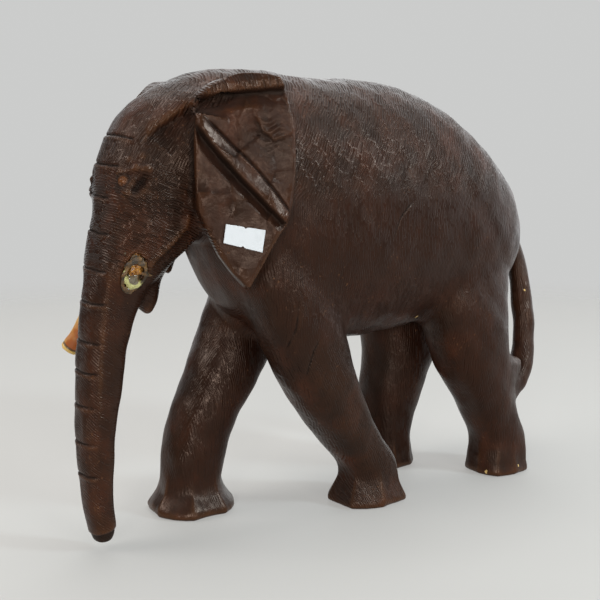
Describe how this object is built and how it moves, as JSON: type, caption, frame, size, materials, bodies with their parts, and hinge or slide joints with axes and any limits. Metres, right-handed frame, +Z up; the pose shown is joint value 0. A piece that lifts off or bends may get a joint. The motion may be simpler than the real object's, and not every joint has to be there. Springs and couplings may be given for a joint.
{
  "type": "carved wooden elephant figurine",
  "caption": "Walking elephant carved in dark hardwood, with a glued pale tusk peg on its right, an empty broken tusk socket on its left and a blank price label on its left ear.",
  "frame": {"origin": "on the floor under the middle of the whole figure's bounding box", "axes": "+Z up, -Y the way the elephant faces, +X its left side"},
  "size_m": [0.1084, 0.3266, 0.2523],
  "materials": {
    "dark_wood": "waxed dark brown hardwood, gouge hatched, semi-gloss",
    "pale_wood": "tan close-grained wood, worn and stained at the cut end",
    "dried_glue": "yellowed dried glue, glossy and lumpy",
    "label_paper": "white matt price-gun paper, blank"
  },
  "bodies": {
    "root": {"carved_body": "dark_wood", "right_tusk": "pale_wood", "left_tusk_stub": "pale_wood", "right_socket_glue": "dried_glue", "left_socket_glue": "dried_glue", "price_label": "label_paper"}
  },
  "joints": []
}
